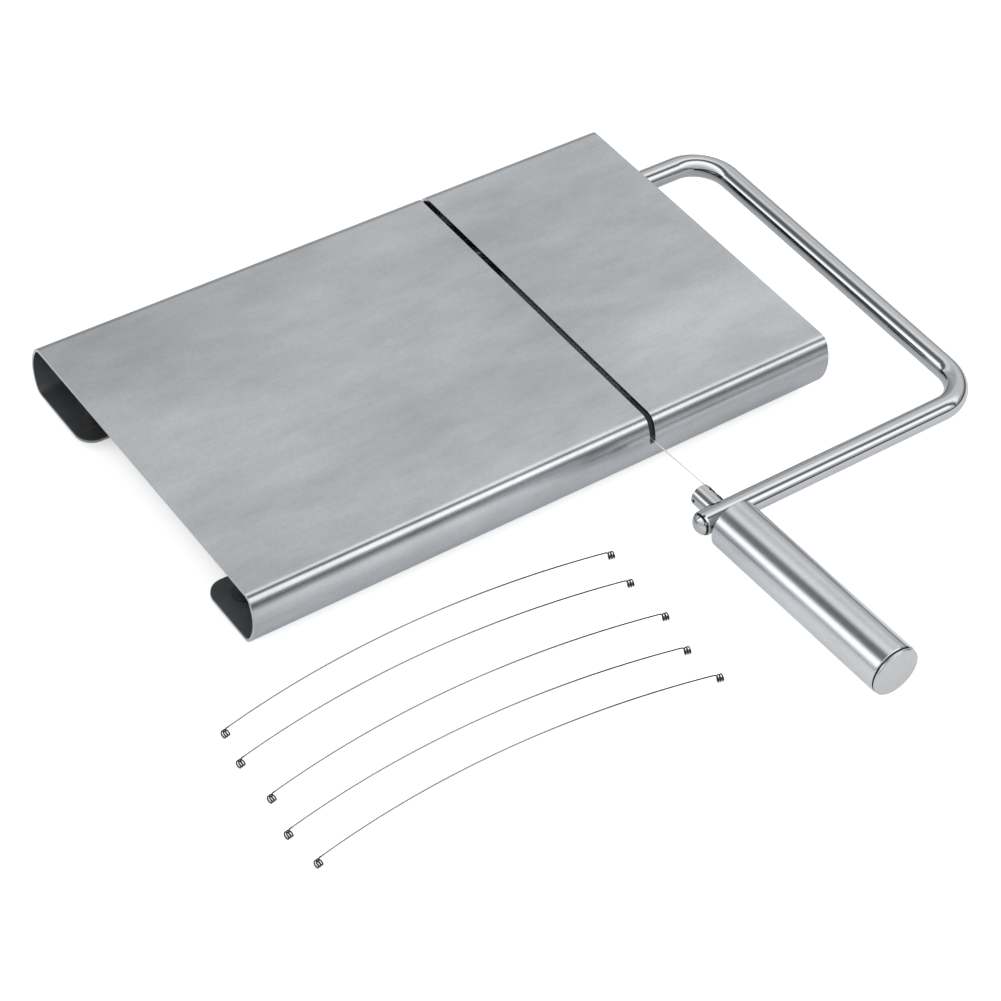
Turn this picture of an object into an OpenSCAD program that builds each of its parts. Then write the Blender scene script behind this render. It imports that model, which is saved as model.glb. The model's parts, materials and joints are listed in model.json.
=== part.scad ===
// Cheese board with a wire cutter: a folded steel deck on four rubber feet, an arm of round bar that
// turns in two brackets under the rear edge, and a steel wire held taut by a screw in the handle.
// Lengths are in millimetres. X runs along the board to the arm's side, Y to the rear, Z up.
// The origin is under the middle of the front left foot, on the table that the feet stand on. The
// modules work from the middle of the board, and placed() moves their shapes to the origin.

/* [Board] */
// Length of the board, left to right
board_w = 220; // [180:1:300]
// Depth of the board, front to rear
board_d = 133; // [124:1:180]
// Height of the folded sheet, from the underside of its flanges to the cutting surface
board_h = 19.5; // [19:0.5:26]
// Thickness of the sheet
sheet_t = 1; // [0.8:0.1:1.2]
// Radius of the front and rear walls, which bulge outwards
wall_r = 15; // [13.5:0.5:24]
// Outer radius of the bends between the walls, the cutting surface and the flanges
bend_r = 4; // [2:0.1:5]
// Depth of the front flange, from the front face inwards
front_flange = 29; // [28:0.5:36]
// Depth of the rear flange, from the rear face inwards
rear_flange = 33; // [32.5:0.5:36]
// Radius of the flange corners
flange_corner_r = 6; // [3:0.5:8]

/* [Cutting slot] */
// Distance of the slot from the right end of the board
slot_from_right = 72.9; // [68:0.1:90]
// Width of the slot
slot_w = 2.2; // [2:0.1:3]
// How far the slot runs down the front and rear walls, from the cutting surface
slot_drop = 8.6; // [8.2:0.1:10]

/* [Feet] */
// Height of the feet under the flanges
foot_h = 4.5; // [3:0.5:8]
// Diameter of the feet where they meet the flange
foot_d = 14; // [12:0.5:18]
// Distance of the feet from the ends of the board
foot_from_end = 9; // [8.5:0.5:14]
// Distance of the front feet from the front face
foot_from_front = 20.5; // [16:0.5:21]
// Distance of the rear feet from the rear face
foot_from_rear = 23; // [17:0.5:24]
// Diameter of the plug that holds a foot in its hole
foot_plug_d = 7.4; // [6.5:0.1:9]

/* [Arm] */
// Diameter of the bar
rod_d = 8; // [6.5:0.1:8.5]
// Radius of the arm's bends, along the middle of the bar
arm_bend_r = 14; // [10:0.5:25]
// Gap from the right end of the board to the middle of the arm's side run
arm_side_gap = 34; // [25:0.5:60]
// Gap from the front face of the board to the middle of the arm's front run
arm_front_gap = 34.2; // [30:0.1:50]
// Distance of the pivot from the rear face
pivot_from_rear = 25.7; // [24.5:0.1:26]
// How far the arm slopes down to the front at rest, in degrees
arm_droop = 0.65; // [0.4:0.05:0.9]
// How far the rear run goes past the slot
rod_rear_tail = 6; // [5:0.5:9]
// How far the front run goes past the handle
rod_front_tail = 10.7; // [8:0.1:14]
// Height of the domed front end of the bar
rod_dome_h = 3; // [2:0.1:3.2]

/* [Pivot] */
// Distance of the outer bracket from the right end of the board
outer_bracket_in = 24; // [22:0.5:26]
// Distance of the inner bracket from the slot
inner_bracket_in = 15; // [12:0.5:16]
// Thickness of the brackets
bracket_t = 1.5; // [1.2:0.1:2]
// Width of the brackets, front to rear
bracket_w = 13; // [12.5:0.1:14]
// Length of a bracket's foot, along the board
bracket_foot_l = 15.5; // [14:0.5:16]
// Wall of the nylon bushes
bush_wall = 1; // [0.8:0.1:1.1]
// Thickness of a bush's flange
bush_flange_t = 1; // [0.8:0.1:1.5]
// Thickness of the retaining clips
clip_t = 0.8; // [0.6:0.1:1]
// Depth of the clips' grooves in the bar
clip_groove = 0.5; // [0.3:0.1:0.7]
// Diameter of the rivet shanks
rivet_d = 3; // [2.4:0.1:3.2]

/* [Handle] */
// Distance of the handle's axis from the middle of the slot
handle_from_slot = 1.1; // [0.6:0.1:2]
// How far the handle rises from the arm's plane, in degrees
handle_rise = 3.5; // [0:0.1:5]
// Diameter of the handle
handle_d = 17.3; // [15:0.1:22]
// Length of the handle's tube
handle_l = 74.6; // [60:0.1:120]
// Wall of the handle's tube
handle_wall = 1.2; // [1:0.1:2]
// Length of the threaded insert in the tube
insert_l = 14; // [10:0.5:18]
// Thickness of the end cap's rim
cap_t = 0.7; // [0.6:0.1:2]
// Gap between the tube and the end cap
cap_gap = 0.6; // [0.3:0.1:0.8]

/* [Wire and its holder] */
// Diameter of the wire
wire_d = 0.45; // [0.4:0.01:0.5]
// Mean radius of the small coil at each end of a wire
coil_r = 1.08; // [1:0.01:1.12]
// Rise of that coil in one turn
coil_pitch = 0.9; // [0.88:0.01:1]
// Turns in that coil
coil_turns = 2.25; // [1.75:0.25:2.25]
// Diameter of the wire holder
holder_d = 7.6; // [7.4:0.1:8]
// Length of the wire holder, from the middle of the bar
holder_l = 11; // [11:0.1:14]
// Direction in which the holder is open, in degrees from straight up
holder_open = 40; // [0:1:60]
// How far the wire lies from the holder's axis
wire_off = 3.1; // [2.9:0.05:3.2]
// Diameter of the holder's threaded stud
stud_d = 4; // [3.5:0.1:4]
// Rise of its thread in one turn
thread_pitch = 0.7; // [0.5:0.05:0.7]
// Turns of the handle between slack and taut
handle_turns = 2; // [1:1:2]

/* [Spare wires] */
// Radius of the bow in which a spare wire lies
spare_bow_r = 285; // [200:1:600]
// Distance of the first spare wire from the front face
spare_gap = 11.8; // [8:0.1:40]
// Distance from the first spare wire to the last
spare_spread = 55.3; // [50:0.1:90]
// Distance of the first spare wire's middle to the left of the board's middle
spare_left = 63.2; // [60:0.1:80]
// How far the spare wires stray sideways
spare_stray = 4.1; // [0:0.1:5]

/* [Hidden] */
$fn = 64;

// Colours
steel = [0.66, 0.67, 0.69];
bright_steel = [0.80, 0.81, 0.83];
nylon = [0.90, 0.89, 0.86];
black_rubber = [0.10, 0.10, 0.11];

// Clearances
cut_over = 1;
run_fit = 0.05;
seat_gap = 0.05;
body_gap = 0.3;

// Board
bend_lap = 0.01;
flange_z = foot_h + sheet_t;
deck_z = foot_h + board_h;
front_y = -board_d / 2;
rear_y = board_d / 2;
right_x = board_w / 2;
slot_x = right_x - slot_from_right;
slot_end_z = deck_z - slot_drop;

// Feet
foot_neck_d = 5.6;
foot_hole_d = foot_neck_d + 2 * run_fit;
foot_base_d = 12.4;
foot_edge_r = 0.8;
foot_lip_h = 0.6;
foot_plug_h = 3.6;
foot_plug_top_d = 5.2;
foot_body_inset = 0.6;

// Pivot and arm
pivot_y = rear_y - pivot_from_rear;
pivot_z = foot_h + board_h / 2;
rod_r = rod_d / 2;
arm_reach = (pivot_y - front_y + arm_front_gap) / cos(arm_droop);
arm_x = right_x + arm_side_gap;
handle_x = slot_x + handle_from_slot;
rod_rear_x = slot_x - rod_rear_tail;
rod_front_x = handle_x - rod_front_tail;
rod_edge = 0.5;
rod_slit_w = 1;
tip_wear = 0.02;
rod_slit_l = rod_rear_tail + 2 * rod_slit_w;
tip_groove_from_end = 1.7;
tip_groove_w = 0.6;
tip_groove_depth = 0.9;
tip_hole_d = 1.2;
tip_hole_depth = 1.6;
tip_hole_up = 44;

// Brackets, bushes, clips and rivets
inner_bracket_x = slot_x + inner_bracket_in;
outer_bracket_x = right_x - outer_bracket_in;
bush_bore_d = rod_d + 2 * run_fit;
bush_d = bush_bore_d + 2 * bush_wall;
bush_flange_d = bush_d + 2 * bush_wall;
bush_tail = 0.6;
bracket_hole_d = bush_d + 2 * run_fit;
bracket_head_r = bracket_w / 2;
clip_d = rod_d + 2 * bush_wall + 1.5 * clip_t;
clip_bore_d = rod_d - 2 * clip_groove + 2 * run_fit;
clip_mouth = rod_d / 2;
clip_face = bracket_t / 2 + bush_flange_t + body_gap;
rivet_brim = 1.2;
rivet_head_d = rivet_d + 2 * rivet_brim;
rivet_head_h = 1.2;
rivet_rim_h = 0.2;
rivet_tail_h = 0.7;
rivet_edge = 2.6;
rivet_hole_d = rivet_d + 2 * run_fit;

// Radius of a ball of which a slice w wide is h high
function ball_r(w, h) = (w * w / 4 + h * h) / (2 * h);
rivet_ball_r = ball_r(rivet_head_d, rivet_head_h - rivet_rim_h);
rod_dome_r = ball_r(rod_d, rod_dome_h);

// Handle
handle_r = handle_d / 2;
tube_gap = 1;
tube_z = rod_r + tube_gap;
tube_edge = 0.5;
insert_recess = 0.6;
collar_d = 10;
collar_z = rod_r + body_gap;
cap_z = tube_z + handle_l + cap_gap;
cap_inset = 0.25;
cap_d = handle_d - 2 * cap_inset;
cap_edge = 0.25;
cap_spigot_l = 6;
cap_neck_l = 0.8;
cap_neck_inset = 1.2;
stud_bore_d = stud_d + 2 * run_fit;
stud_end_z = tube_z + insert_recess + insert_l + stud_d / 2;
stud_tip = 0.4;

// Wire holder
holder_travel = handle_turns * thread_pitch;
holder_r = holder_d / 2;
holder_edge = 0.3;
saddle_r = rod_r + body_gap;
stud_root = 0.5;
pocket_end_z = -saddle_r - stud_root;
slit_w = wire_d + 2 * body_gap;
coil_out_r = coil_r + wire_d / 2;
coil_off = wire_off - coil_r;
pocket_w = 2 * (coil_out_r + body_gap);
pocket_floor = coil_off - coil_out_r - body_gap;
slit_floor = wire_off - wire_d / 2 - body_gap;
hook_l = 0.8;
coil_l = coil_pitch * coil_turns;
coil_near_z = pocket_end_z - body_gap - holder_travel;
wire_exit_z = coil_near_z - wire_d / 2 - coil_l - hook_l;
pocket_far_z = wire_exit_z - body_gap;
tommy_hole_d = 1.2;

// Wires
wire_sides = 6;
turn_steps = 8;
hook_steps = 4;
hook_turn = 90;
bow_steps = 14;
kink_reach = 1.5;
wire_side_gap = body_gap + wire_d / 2 + run_fit;

// Spare wires
spare_rows_share = [0, 0.22, 0.51, 0.76, 1];
spare_stray_share = [0, 0.5, 0.32, 1, 0.6];
spare_turn_first = 0.8;
spare_turn_more = 1.75;
spare_coil_lean = 40;

// Unit vector along v
function unit(v) = v / norm(v);

// Points of a list, last to first
function turned_round(list) = [for (i = [len(list) - 1 : -1 : 0]) list[i]];

// A point of the arm's own frame, at rest: x along the pivot, y to the rear, z square to the arm
function arm_point(p) = [
    p[0],
    pivot_y + p[1] * cos(arm_droop) - p[2] * sin(arm_droop),
    pivot_z + p[1] * sin(arm_droop) + p[2] * cos(arm_droop)
];

// A point of the handle's own frame, at rest: z outwards along the handle, y up
handle_tilt = 90 - handle_rise;
function handle_point(p) = arm_point([
    handle_x + p[0],
    -arm_reach + p[1] * cos(handle_tilt) - p[2] * sin(handle_tilt),
    p[1] * sin(handle_tilt) + p[2] * cos(handle_tilt)
]);

// Direction square to the holder's axis, out of its open side
open_way = [sin(holder_open), cos(holder_open), 0];

// The coil that ends a wire: it leaves the point p along d, on the side n of the coil's own axis.
// Each entry is a point of the wire and the direction away from the coil's axis there.
function coil_entry(p, d, n, turn, along) =
    let (
        away = n * cos(turn) + cross(d, n) * sin(turn)
    )
    [p - n * coil_r + away * coil_r + d * along, away];

function coil_end(p, d, n) = concat(
    [for (k = [0 : hook_steps])
        let (share = k / hook_steps)
        coil_entry(p, d, n, hook_turn * share * share, hook_l * share)],
    [for (k = [1 : round(coil_turns * turn_steps)])
        coil_entry(p, d, n, hook_turn + 360 * k / turn_steps, hook_l + coil_pitch * k / turn_steps)]
);

// A whole wire: a coil, the points of its route, and a coil. d points out of the wire at its ends.
function wire_entries(route, first_n, last_n) =
    let (
        last = len(route) - 1,
        first_d = unit(route[0] - route[1]),
        last_d = unit(route[last] - route[last - 1])
    )
    concat(
        turned_round(coil_end(route[0], first_d, first_n)),
        [for (i = [1 : last - 1]) [route[i], first_n + (last_n - first_n) * i / last]],
        coil_end(route[last], last_d, last_n)
    );

// Corners of a route cut twice, so that it bends smoothly, with its ends kept
function corners_cut(p) = concat(
    [p[0]],
    [for (i = [0 : len(p) - 2]) for (share = [0.25, 0.75])
        if (!(i == 0 && share == 0.25) && !(i == len(p) - 2 && share == 0.75))
            p[i] * (1 - share) + p[i + 1] * share],
    [p[len(p) - 1]]
);

// Length of a route
function route_length(p, i = 1) = i >= len(p) ? 0 : norm(p[i] - p[i - 1]) + route_length(p, i + 1);

// A tube of the wire's diameter along entries of [point, side direction]
module wire_tube(entries) {
    last = len(entries) - 1;
    points = [for (i = [0 : last])
        let (
            p = entries[i][0],
            along = unit(entries[min(i + 1, last)][0] - entries[max(i - 1, 0)][0]),
            side = unit(entries[i][1] - along * (entries[i][1] * along)),
            up = cross(along, side)
        )
        for (k = [0 : wire_sides - 1])
            let (turn = 360 * k / wire_sides)
            p + (side * cos(turn) + up * sin(turn)) * wire_d / 2];
    walls = [for (i = [0 : last - 1]) for (k = [0 : wire_sides - 1])
        let (
            a = i * wire_sides + k,
            b = i * wire_sides + (k + 1) % wire_sides
        )
        for (face = [[a, a + wire_sides, b + wire_sides], [a, b + wire_sides, b]]) face];
    ends = [
        [for (k = [0 : wire_sides - 1]) k],
        [for (k = [wire_sides - 1 : -1 : 0]) last * wire_sides + k]
    ];
    polyhedron(points, concat(walls, ends));
}

// Route of the mounted wire: through the slit in the bar, along the cutting slot, past the lower
// right corner of the slot in the front wall, and into the holder
wire_rear_x = slot_x - wire_d / 2;
wire_front = [slot_x + slot_w / 2 - wire_side_gap, front_y, slot_end_z + wire_side_gap];
rear_exit = arm_point([wire_rear_x, rod_r + seat_gap, 0]);
holder_exit = handle_point(open_way * wire_off + [0, 0, wire_exit_z]);
holder_mouth = handle_point(open_way * wire_off + [0, 0, -holder_l - holder_travel]);
before_kink = wire_front + unit(rear_exit - wire_front) * kink_reach;
after_kink = wire_front + unit(holder_mouth - wire_front) * kink_reach;
before_mouth = holder_mouth + unit(wire_front - holder_mouth) * wire_d;
wire_route = concat(
    [rear_exit],
    corners_cut(corners_cut([before_kink, wire_front, after_kink])),
    [before_mouth, holder_mouth, holder_exit]
);
mounted_entries = wire_entries(wire_route, [1, 0, 0], handle_point(open_way) - handle_point([0, 0, 0]));

// A spare wire: as long as the mounted one, bowed, on its two coils and the middle of the bow
spare_l = route_length(wire_route);
spare_end_z = coil_out_r + coil_r * sin(spare_coil_lean);
spare_half_turn = spare_l / spare_bow_r / 2 * 180 / PI;

function spare_point(i, share) =
    let (
        turn = share * spare_half_turn - spare_turn_first - spare_turn_more * spare_rows_share[i],
        mid_turn = -spare_turn_first - spare_turn_more * spare_rows_share[i],
        middle = [-spare_left - spare_stray * spare_stray_share[i],
            front_y - spare_gap - spare_spread * spare_rows_share[i],
            wire_d / 2],
        hub = middle - [sin(-mid_turn), cos(mid_turn), 0] * spare_bow_r
    )
    hub + [sin(-turn), cos(turn), 0] * spare_bow_r + [0, 0, spare_end_z - wire_d / 2] * share * share;

function spare_side(i, share) =
    let (turn = share * spare_half_turn - spare_turn_first - spare_turn_more * spare_rows_share[i])
    [sin(-turn), cos(turn), 0] * cos(spare_coil_lean) + [0, 0, sin(spare_coil_lean)];

// The bow's points run from the right end to the left end
function spare_entries(i) = wire_entries(
    [for (k = [0 : bow_steps]) spare_point(i, 2 * k / bow_steps - 1)],
    spare_side(i, -1),
    spare_side(i, 1)
);

// Least gap between two turns of a wire, measured on its points
function least_gap(entries) = min([
    for (i = [0 : len(entries) - 1]) for (j = [i + turn_steps / 2 : 1 : len(entries) - 1])
        norm(entries[i][0] - entries[j][0]) - wire_d
]);
echo("least gap of the mounted wire to itself", least_gap(mounted_entries));
echo("least gap of a spare wire to itself", least_gap(spare_entries(0)));
echo("length of a wire without its coils", spare_l);

// Moves its children from the middle of the board to the origin
module placed() {
    translate([foot_x, -foot_ys[0], 0])
        children();
}

// Moves its children from the arm's own frame to the arm at rest
module on_arm() {
    translate([0, pivot_y, pivot_z])
        rotate([arm_droop, 0, 0])
            children();
}

// Moves its children from the handle's own frame to the handle at rest
module on_handle() {
    on_arm()
        translate([handle_x, -arm_reach, 0])
            rotate([handle_tilt, 0, 0])
                children();
}

// A cylinder along X, from x
module bar_x(x, l, d) {
    translate([x, 0, 0])
        rotate([0, 90, 0])
            cylinder(h = l, d = d);
}

// Cross-section of the folded sheet's outside or inside, in Y and Z: two walls of radius r, bulging to
// the depth d, that run into the flat top and bottom through bends of radius r_bend
module fold_outline(d, h, r, r_bend) {
    bend_y = d / 2 - r + sqrt(pow(r - r_bend, 2) - pow(h / 2 - r_bend, 2)) + bend_lap;
    wall_h = (h - 2 * r_bend) * r / (r - r_bend);
    for (side = [-1, 1]) {
        for (z = [r_bend, h - r_bend])
            translate([side * bend_y, z])
                circle(r = r_bend);
        intersection() {
            translate([side * (d / 2 - r), h / 2])
                circle(r = r, $fn = 4 * $fn);
            translate([side > 0 ? 0 : -d / 2, (h - wall_h) / 2])
                square([d / 2, wall_h]);
        }
    }
    translate([-bend_y, 0])
        square([2 * bend_y, h]);
}

// Cuts the corner of a flange at x, y round; side_x and side_y point out of the corner
module corner_cut(x, y, side_x, side_y) {
    corner_w = flange_corner_r + cut_over;
    translate([x - side_x * flange_corner_r, y - side_y * flange_corner_r, foot_h - cut_over])
        difference() {
            translate([side_x > 0 ? 0 : -corner_w, side_y > 0 ? 0 : -corner_w, 0])
                cube([corner_w, corner_w, sheet_t + 2 * cut_over]);
            translate([0, 0, -cut_over])
                cylinder(h = sheet_t + 4 * cut_over, r = flange_corner_r);
        }
}

front_flange_y = front_y + front_flange;
rear_flange_y = rear_y - rear_flange;

module deck_board() {
    color(steel)
        difference() {
            translate([-right_x, 0, foot_h])
                rotate([90, 0, 90])
                    linear_extrude(board_w)
                        difference() {
                            fold_outline(board_d, board_h, wall_r, bend_r);
                            translate([0, sheet_t])
                                fold_outline(board_d - 2 * sheet_t, board_h - 2 * sheet_t,
                                    wall_r - sheet_t, bend_r - sheet_t);
                            translate([front_flange_y, -cut_over])
                                square([rear_flange_y - front_flange_y, sheet_t + 2 * cut_over]);
                        }
            translate([slot_x - slot_w / 2, front_y - cut_over, slot_end_z])
                cube([slot_w, board_d + 2 * cut_over, slot_drop + cut_over]);
            for (side = [-1, 1]) {
                corner_cut(side * right_x, front_flange_y, side, 1);
                corner_cut(side * right_x, rear_flange_y, side, -1);
                for (y = foot_ys)
                    translate([side * foot_x, y, foot_h - cut_over])
                        cylinder(h = sheet_t + 2 * cut_over, d = foot_hole_d);
            }
            for (place = rivet_places)
                translate([place[0], place[1], foot_h - cut_over])
                    cylinder(h = sheet_t + 2 * cut_over, d = rivet_hole_d);
        }
}

foot_x = right_x - foot_from_end;
foot_ys = [front_y + foot_from_front, rear_y - foot_from_rear];

// One foot at x, y: a tapered pad, a neck through the flange and a plug above it
module rubber_foot(x, y) {
    color(black_rubber)
        translate([x, y, 0])
            rotate_extrude() {
                polygon([
                    [0, 0],
                    [foot_base_d / 2 - foot_edge_r, 0],
                    [foot_base_d / 2, foot_edge_r],
                    [foot_d / 2, foot_h - foot_edge_r],
                    [foot_d / 2, foot_h],
                    [foot_neck_d / 2, foot_h],
                    [foot_neck_d / 2, flange_z],
                    [foot_plug_d / 2, flange_z],
                    [foot_plug_d / 2, flange_z + foot_lip_h],
                    [foot_plug_d / 2 - foot_body_inset, flange_z + foot_lip_h + foot_body_inset],
                    [foot_plug_top_d / 2, flange_z + foot_plug_h - foot_body_inset],
                    [foot_plug_top_d / 2 - foot_body_inset, flange_z + foot_plug_h],
                    [0, flange_z + foot_plug_h]
                ]);
            }
}

module foot_front_left() {
    rubber_foot(-foot_x, foot_ys[0]);
}

module foot_front_right() {
    rubber_foot(foot_x, foot_ys[0]);
}

module foot_rear_left() {
    rubber_foot(-foot_x, foot_ys[1]);
}

module foot_rear_right() {
    rubber_foot(foot_x, foot_ys[1]);
}

// Rivets stand in each bracket's foot, the same distance from its free end and from its upright
function bracket_rivets_x(x, way) = [
    x + way * (bracket_foot_l - bracket_t / 2 - rivet_edge - rivet_d / 2),
    x + way * (bracket_t / 2 + rivet_edge + rivet_d / 2)
];
rivet_places = concat(
    [for (x = bracket_rivets_x(inner_bracket_x, 1)) [x, pivot_y]],
    [for (x = bracket_rivets_x(outer_bracket_x, -1)) [x, pivot_y]]
);

// A bracket whose upright stands at x and whose foot runs way along the flange
module hinge_bracket(x, way) {
    foot_x0 = way > 0 ? x - bracket_t / 2 : x + bracket_t / 2 - bracket_foot_l;
    color(steel)
        difference() {
            union() {
                translate([foot_x0, pivot_y - bracket_w / 2, flange_z])
                    cube([bracket_foot_l, bracket_w, bracket_t]);
                translate([x - bracket_t / 2, pivot_y - bracket_w / 2, flange_z])
                    cube([bracket_t, bracket_w, pivot_z - flange_z]);
                translate([0, pivot_y, pivot_z])
                    bar_x(x - bracket_t / 2, bracket_t, 2 * bracket_head_r);
            }
            translate([0, pivot_y, pivot_z])
                bar_x(x - bracket_t / 2 - cut_over, bracket_t + 2 * cut_over, bracket_hole_d);
            for (place = rivet_places)
                translate([place[0], place[1], flange_z - cut_over])
                    cylinder(h = bracket_t + 2 * cut_over, d = rivet_hole_d);
        }
}

module hinge_bracket_inner() {
    hinge_bracket(inner_bracket_x, 1);
}

module hinge_bracket_outer() {
    hinge_bracket(outer_bracket_x, -1);
}

module bracket_rivets() {
    head_top = flange_z + bracket_t + rivet_head_h;
    color(bright_steel)
        for (place = rivet_places)
            translate([place[0], place[1], head_top])
                rotate([180, 0, 0])
                    rotate_extrude() {
                        domed_outline(rivet_head_h, rivet_head_d, rivet_ball_r);
                        translate([0, rivet_head_h / 2])
                            square([rivet_d / 2, head_top - foot_h + rivet_tail_h - rivet_head_h / 2]);
                        translate([0, head_top - foot_h])
                            square([rivet_head_d / 2, rivet_tail_h]);
                    }
}

// A bush in the bracket at x, with its flange on the side way
module bush(x, way) {
    face = x + way * bracket_t / 2;
    tail = x - way * (bracket_t / 2 + bush_tail);
    color(nylon)
        translate([0, pivot_y, pivot_z])
            difference() {
                union() {
                    bar_x(min(face, tail), abs(face - tail), bush_d);
                    bar_x(way > 0 ? face : face - bush_flange_t, bush_flange_t, bush_flange_d);
                }
                bar_x(x - bracket_t - bush_flange_t - cut_over,
                    2 * (bracket_t + bush_flange_t + cut_over), bush_bore_d);
            }
}

module bush_inner() {
    bush(inner_bracket_x, -1);
}

module bush_outer() {
    bush(outer_bracket_x, 1);
}

inner_clip_x = inner_bracket_x - clip_face - clip_t;
outer_clip_x = outer_bracket_x + clip_face;

// A retaining clip from x on, open to the front
module clip(x) {
    color(bright_steel)
        on_arm()
            difference() {
                bar_x(x, clip_t, clip_d);
                bar_x(x - cut_over, clip_t + 2 * cut_over, clip_bore_d);
                translate([x - cut_over, -clip_d, -clip_mouth / 2])
                    cube([clip_t + 2 * cut_over, clip_d, clip_mouth]);
            }
}

module clip_inner() {
    clip(inner_clip_x);
}

module clip_outer() {
    clip(outer_clip_x);
}

// A quarter bend of the bar about [x, y] in the arm's plane, from the angle start on
module rod_bend(x, y, start) {
    translate([x, y, 0])
        rotate([0, 0, start])
            rotate_extrude(angle = 90)
                translate([arm_bend_r, 0])
                    circle(d = rod_d);
}

// A groove round the bar, from x on
module groove_cut(x, w, depth) {
    difference() {
        bar_x(x, w, rod_d + cut_over);
        bar_x(x - cut_over, w + 2 * cut_over, rod_d - 2 * depth);
    }
}

// The groove in the bar's domed end, and the small blind hole in it
module tip_cuts() {
    groove_cut(tip_groove_from_end, tip_groove_w, tip_groove_depth);
    translate([tip_groove_from_end + tip_groove_w / 2, 0, 0])
        rotate([90 - tip_hole_up, 0, 0])
            translate([0, 0, rod_r - tip_hole_depth])
                cylinder(h = tip_hole_depth + cut_over, d = tip_hole_d);
}

// Half of the cross-section of a bar along Z with a domed end at z = 0, worn flat at its very tip
module domed_outline(l, d, r) {
    intersection() {
        square([d / 2, l]);
        translate([0, r - tip_wear]) {
            circle(r = r);
            square([d, l]);
        }
    }
}

module arm_rod() {
    bend_x = arm_x - arm_bend_r;
    color(bright_steel)
        difference() {
            on_arm() {
                translate([rod_rear_x, 0, 0])
                    rotate([0, 90, 0])
                        rotate_extrude()
                            polygon([
                                [0, 0],
                                [rod_r - rod_edge, 0],
                                [rod_r, rod_edge],
                                [rod_r, bend_x - rod_rear_x],
                                [0, bend_x - rod_rear_x]
                            ]);
                rod_bend(bend_x, -arm_bend_r, 0);
                translate([arm_x, -arm_bend_r, 0])
                    rotate([90, 0, 0])
                        cylinder(h = arm_reach - 2 * arm_bend_r, d = rod_d);
                rod_bend(bend_x, arm_bend_r - arm_reach, -90);
                translate([rod_front_x, -arm_reach, 0])
                    rotate([0, 90, 0])
                        rotate_extrude()
                            domed_outline(bend_x - rod_front_x, rod_d, rod_dome_r);
            }
            on_arm() {
                for (x = [inner_clip_x, outer_clip_x])
                    groove_cut(x - run_fit, clip_t + 2 * run_fit, clip_groove);
                translate([rod_front_x, -arm_reach, 0])
                    tip_cuts();
                translate([rod_rear_x - cut_over, -rod_d, -rod_slit_w / 2])
                    cube([rod_slit_l + cut_over, 2 * rod_d, rod_slit_w]);
            }
            on_handle()
                translate([0, 0, -rod_d])
                    cylinder(h = 2 * rod_d, d = stud_bore_d);
        }
}

module cutting_wire() {
    color(bright_steel)
        wire_tube(mounted_entries);
}

// The slotted head that holds the front coil, and its threaded stud, in one piece
module wire_holder() {
    color(bright_steel)
        on_handle() {
            difference() {
                union() {
                    translate([0, 0, -holder_l])
                        cylinder(h = holder_edge, d1 = holder_d - 2 * holder_edge, d2 = holder_d);
                    translate([0, 0, holder_edge - holder_l])
                        cylinder(h = holder_l - holder_edge, d = holder_d);
                }
                bar_x(-holder_d, 2 * holder_d, 2 * saddle_r);
                rotate([0, 0, -holder_open]) {
                    translate([-pocket_w / 2, pocket_floor, pocket_far_z])
                        cube([pocket_w, holder_d, holder_l]);
                    translate([-slit_w / 2, slit_floor, -holder_l - cut_over])
                        cube([slit_w, holder_d, holder_l]);
                }
                translate([0, 0, holder_edge + tommy_hole_d - holder_l])
                    bar_x(-holder_d, holder_d, tommy_hole_d);
            }
            translate([0, 0, pocket_end_z])
                cylinder(h = stud_end_z - stud_tip - pocket_end_z, d = stud_d);
            translate([0, 0, stud_end_z - stud_tip])
                cylinder(h = stud_tip, d1 = stud_d, d2 = stud_d - 2 * stud_tip);
        }
}

module handle_tube() {
    color(steel)
        on_handle()
            rotate_extrude()
                polygon([
                    [handle_r - handle_wall, tube_z],
                    [handle_r - tube_edge, tube_z],
                    [handle_r, tube_z + tube_edge],
                    [handle_r, tube_z + handle_l - cap_edge],
                    [handle_r - cap_edge, tube_z + handle_l],
                    [handle_r - handle_wall, tube_z + handle_l]
                ]);
}

module handle_insert() {
    color(bright_steel)
        on_handle()
            difference() {
                union() {
                    translate([0, 0, tube_z + insert_recess])
                        cylinder(h = insert_l, r = handle_r - handle_wall - seat_gap);
                    translate([0, 0, collar_z])
                        cylinder(h = tube_z + insert_recess - collar_z + cut_over, d = collar_d);
                }
                translate([0, 0, collar_z - cut_over])
                    cylinder(h = insert_l + tube_z + 2 * cut_over, d = stud_bore_d);
            }
}

module handle_cap() {
    tube_end = cap_z - cap_gap;
    spigot_r = handle_r - handle_wall - seat_gap;
    color(bright_steel)
        on_handle()
            rotate_extrude()
                polygon([
                    [0, tube_end - cap_spigot_l],
                    [spigot_r, tube_end - cap_spigot_l],
                    [spigot_r, tube_end - cap_neck_l],
                    [spigot_r - cap_neck_inset, tube_end - cap_neck_l],
                    [spigot_r - cap_neck_inset, cap_z],
                    [cap_d / 2, cap_z],
                    [cap_d / 2, cap_z + cap_t - cap_edge],
                    [cap_d / 2 - cap_edge, cap_z + cap_t],
                    [0, cap_z + cap_t]
                ]);
}

// Spare wire i, from 0 for the one nearest the board
module spare_wire(i) {
    color(bright_steel)
        wire_tube(spare_entries(i));
}

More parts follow.
